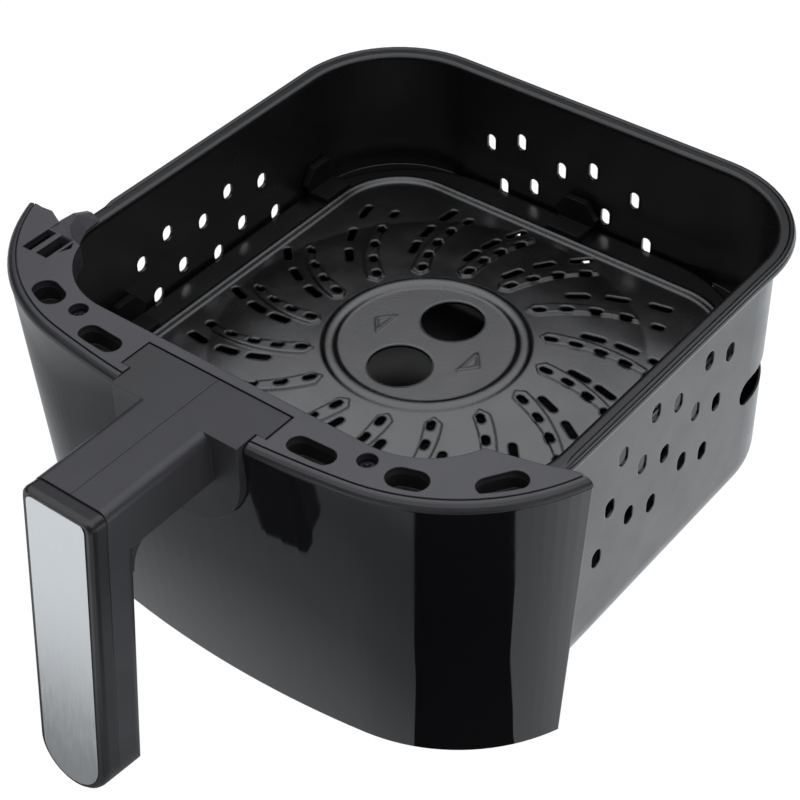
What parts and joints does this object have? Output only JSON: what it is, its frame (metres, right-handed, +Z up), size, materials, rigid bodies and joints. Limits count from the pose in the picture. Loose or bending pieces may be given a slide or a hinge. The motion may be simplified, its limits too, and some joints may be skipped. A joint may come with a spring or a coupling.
{
  "type": "air fryer basket drawer",
  "caption": "Pull-out drawer of an air fryer: perforated non-stick basket with a lift-out crisper plate, gloss front and hanging bar handle",
  "frame": {"origin": "centre of the underside of the basket's floor, on the surface the drawer stands on", "axes": "+Z up, -Y towards the handle, +X to the right of someone facing the rear of the drawer from the handle"},
  "size_m": [0.256, 0.3177, 0.1283],
  "materials": {
    "nonstick": "black non-stick coating, satin",
    "plate_coating": "charcoal non-stick coating, satin",
    "silicone": "dark grey silicone, matte",
    "trim": "charcoal moulded plastic, fine matte grain",
    "gloss": "black moulded plastic, high gloss",
    "inner_plastic": "black moulded plastic, matte",
    "cover": "black moulded plastic, satin",
    "inlay": "silver, brushed lengthwise",
    "steel": "plain zinc plated steel"
  },
  "bodies": {
    "drawer": {"basket": "nonstick", "top_trim": "trim", "front_panel": "gloss", "inner_frame": "inner_plastic", "handle_left": "trim", "handle_right": "trim", "grip_cover": "cover", "grip_inlay": "inlay", "handle_core": "steel", "handle_bracket": "steel", "trim_screws": "steel", "handle_screws": "steel", "grip_screws": "steel", "panel_screws": "steel"},
    "plate": {"crisper_plate": "plate_coating", "bumper_rear": "silicone", "bumper_front": "silicone", "bumper_left_rear": "silicone", "bumper_left_front": "silicone", "bumper_right_rear": "silicone", "bumper_right_front": "silicone"}
  },
  "joints": [
    {"name": "plate_lift", "type": "slide", "parent": "drawer", "child": "plate", "axis": [0, 0, 1], "range_m": [0, 0.1]}
  ]
}
